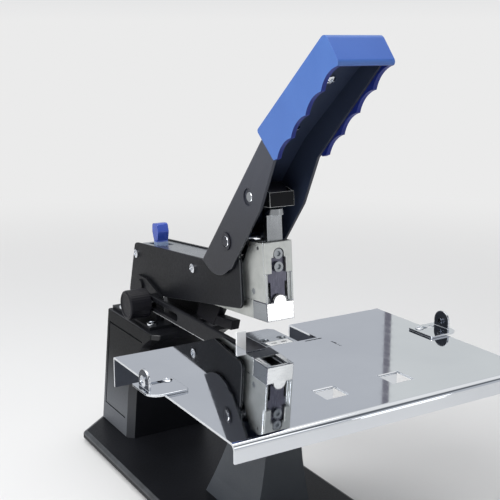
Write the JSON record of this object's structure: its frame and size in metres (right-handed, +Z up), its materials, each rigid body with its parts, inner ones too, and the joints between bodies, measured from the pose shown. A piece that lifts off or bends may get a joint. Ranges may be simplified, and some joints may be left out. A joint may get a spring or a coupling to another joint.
{
  "type": "saddle stapler",
  "caption": "Saddle stapler: sprung arm with hand lever and blue grip, staple magazine and ram, chrome sliding table, saddle post with anvil, depth stop and base.",
  "frame": {"origin": "on the standing surface, under the middle of the base plate", "axes": "+Z up, +Y from the stapling head back to the column, +X to the operator's right facing the head"},
  "size_m": [0.264, 0.404, 0.3813],
  "materials": {
    "black_paint": "semi-gloss powder coat",
    "post_paint": "semi-gloss powder coat",
    "plain_steel": "satin",
    "hard_steel": "ground",
    "mirror_chrome": "mirror plated",
    "cast_alloy": "satin cast",
    "dark_steel": "blackened",
    "spring_steel": "oiled",
    "blue_plastic": "moulded, slight sheen",
    "black_plastic": "moulded",
    "bush_bronze": "sintered",
    "foot_rubber": "matt"
  },
  "bodies": {
    "base": {"base_plate": "black_paint", "rubber_feet": "foot_rubber", "base_screws": "plain_steel", "column_core": "plain_steel", "column_cover": "black_paint", "front_post": "post_paint", "anvil_block": "hard_steel", "anvil_insert": "hard_steel", "anvil_screws": "plain_steel", "table_bracket": "black_paint", "table_bolts": "plain_steel", "top_bracket": "black_paint", "bracket_screws": "mirror_chrome", "arm_pivot_pin": "dark_steel", "arm_spring": "spring_steel"},
    "arm": {"arm_cover_left": "black_paint", "arm_cover_right": "black_paint", "arm_frame": "plain_steel", "pivot_bushes": "bush_bronze", "magazine": "plain_steel", "staple_rail": "plain_steel", "staple_strip": "plain_steel", "pusher_rod": "plain_steel", "pusher_spring": "spring_steel", "magazine_catch": "black_plastic", "catch_pad": "black_plastic", "head_casting": "cast_alloy", "front_plate": "cast_alloy", "nose_block": "mirror_chrome", "head_dowels": "plain_steel", "cover_screws": "mirror_chrome", "lever_shaft": "mirror_chrome", "shaft_rings": "dark_steel", "lever_spring": "spring_steel", "ram_springs": "spring_steel", "latch_pin": "plain_steel"},
    "pusher": {"pusher": "black_plastic"},
    "latch": {"latch_tab": "blue_plastic"},
    "lever": {"lever_channel": "black_paint", "grip": "blue_plastic", "grip_screws": "plain_steel", "push_pin": "mirror_chrome", "lever_bushes": "bush_bronze", "roller_strap": "dark_steel"},
    "roller": {"push_roller": "dark_steel"},
    "ram": {"ram": "plain_steel", "driver_plate": "dark_steel", "driver_screws": "plain_steel"},
    "depth_stop": {"depth_bar": "black_paint", "stop_plate": "mirror_chrome", "stop_screw": "mirror_chrome"},
    "knob": {"clamp_knob": "black_plastic", "clamp_stud": "plain_steel"},
    "table": {"table_plate": "mirror_chrome", "table_runners": "plain_steel", "guide_screws": "dark_steel"},
    "left_guide": {"left_guide": "mirror_chrome", "left_ear_screw": "mirror_chrome"},
    "right_guide": {"right_guide": "mirror_chrome", "right_ear_screw": "mirror_chrome"}
  },
  "joints": [
    {"name": "arm_pivot", "type": "hinge", "parent": "base", "child": "arm", "pos_m": [0, 0.143, 0.156], "axis": [1, 0, 0], "range_deg": [0, 4.7], "stiffness_Nm_per_rad": 8, "springref_deg": -40.11, "deforming": ["arm_spring"]},
    {"name": "handle_pivot", "type": "hinge", "parent": "arm", "child": "lever", "pos_m": [0, -0.01667, 0.22762], "axis": [1, 0, 0], "range_deg": [0, 19.4], "stiffness_Nm_per_rad": 1.5, "springref_deg": -28.65, "deforming": ["lever_spring"]},
    {"name": "ram_slide", "type": "slide", "parent": "arm", "child": "ram", "axis": [0, -0.0819, -0.9966], "range_m": [0, 0.014], "deforming": ["ram_springs"]},
    {"name": "roller_spin", "type": "hinge", "parent": "lever", "child": "roller", "pos_m": [0, -0.04908, 0.26661], "axis": [1, 0, 0], "continuous": true},
    {"name": "pusher_slide", "type": "slide", "parent": "arm", "child": "pusher", "axis": [0, -0.9966, 0.0819], "range_m": [-0.06, 0], "stiffness_N_per_m": 60, "springref_m": 0.05, "deforming": ["pusher_spring"]},
    {"name": "latch_tip", "type": "hinge", "parent": "arm", "child": "latch", "pos_m": [0, 0.13931, 0.1844], "axis": [1, 0, 0], "range_deg": [0, 12], "stiffness_Nm_per_rad": 0.3, "springref_deg": -11.46},
    {"name": "depth_slide", "type": "slide", "parent": "base", "child": "depth_stop", "axis": [0, 1, 0], "range_m": [0, 0.055]},
    {"name": "knob_turn", "type": "hinge", "parent": "base", "child": "knob", "pos_m": [0, 0.108, 0.15], "axis": [1, 0, 0], "continuous": true},
    {"name": "table_slide", "type": "slide", "parent": "base", "child": "table", "axis": [0, -1, 0], "range_m": [0, 0.036]},
    {"name": "left_guide_slide", "type": "slide", "parent": "table", "child": "left_guide", "axis": [1, 0, 0], "range_m": [0, 0.008]},
    {"name": "right_guide_slide", "type": "slide", "parent": "table", "child": "right_guide", "axis": [-1, 0, 0], "range_m": [0, 0.008]}
  ],
  "couplings": [
    {"joint": "ram_slide", "follows": "handle_pivot", "m_per_rad": 0.04134}
  ]
}
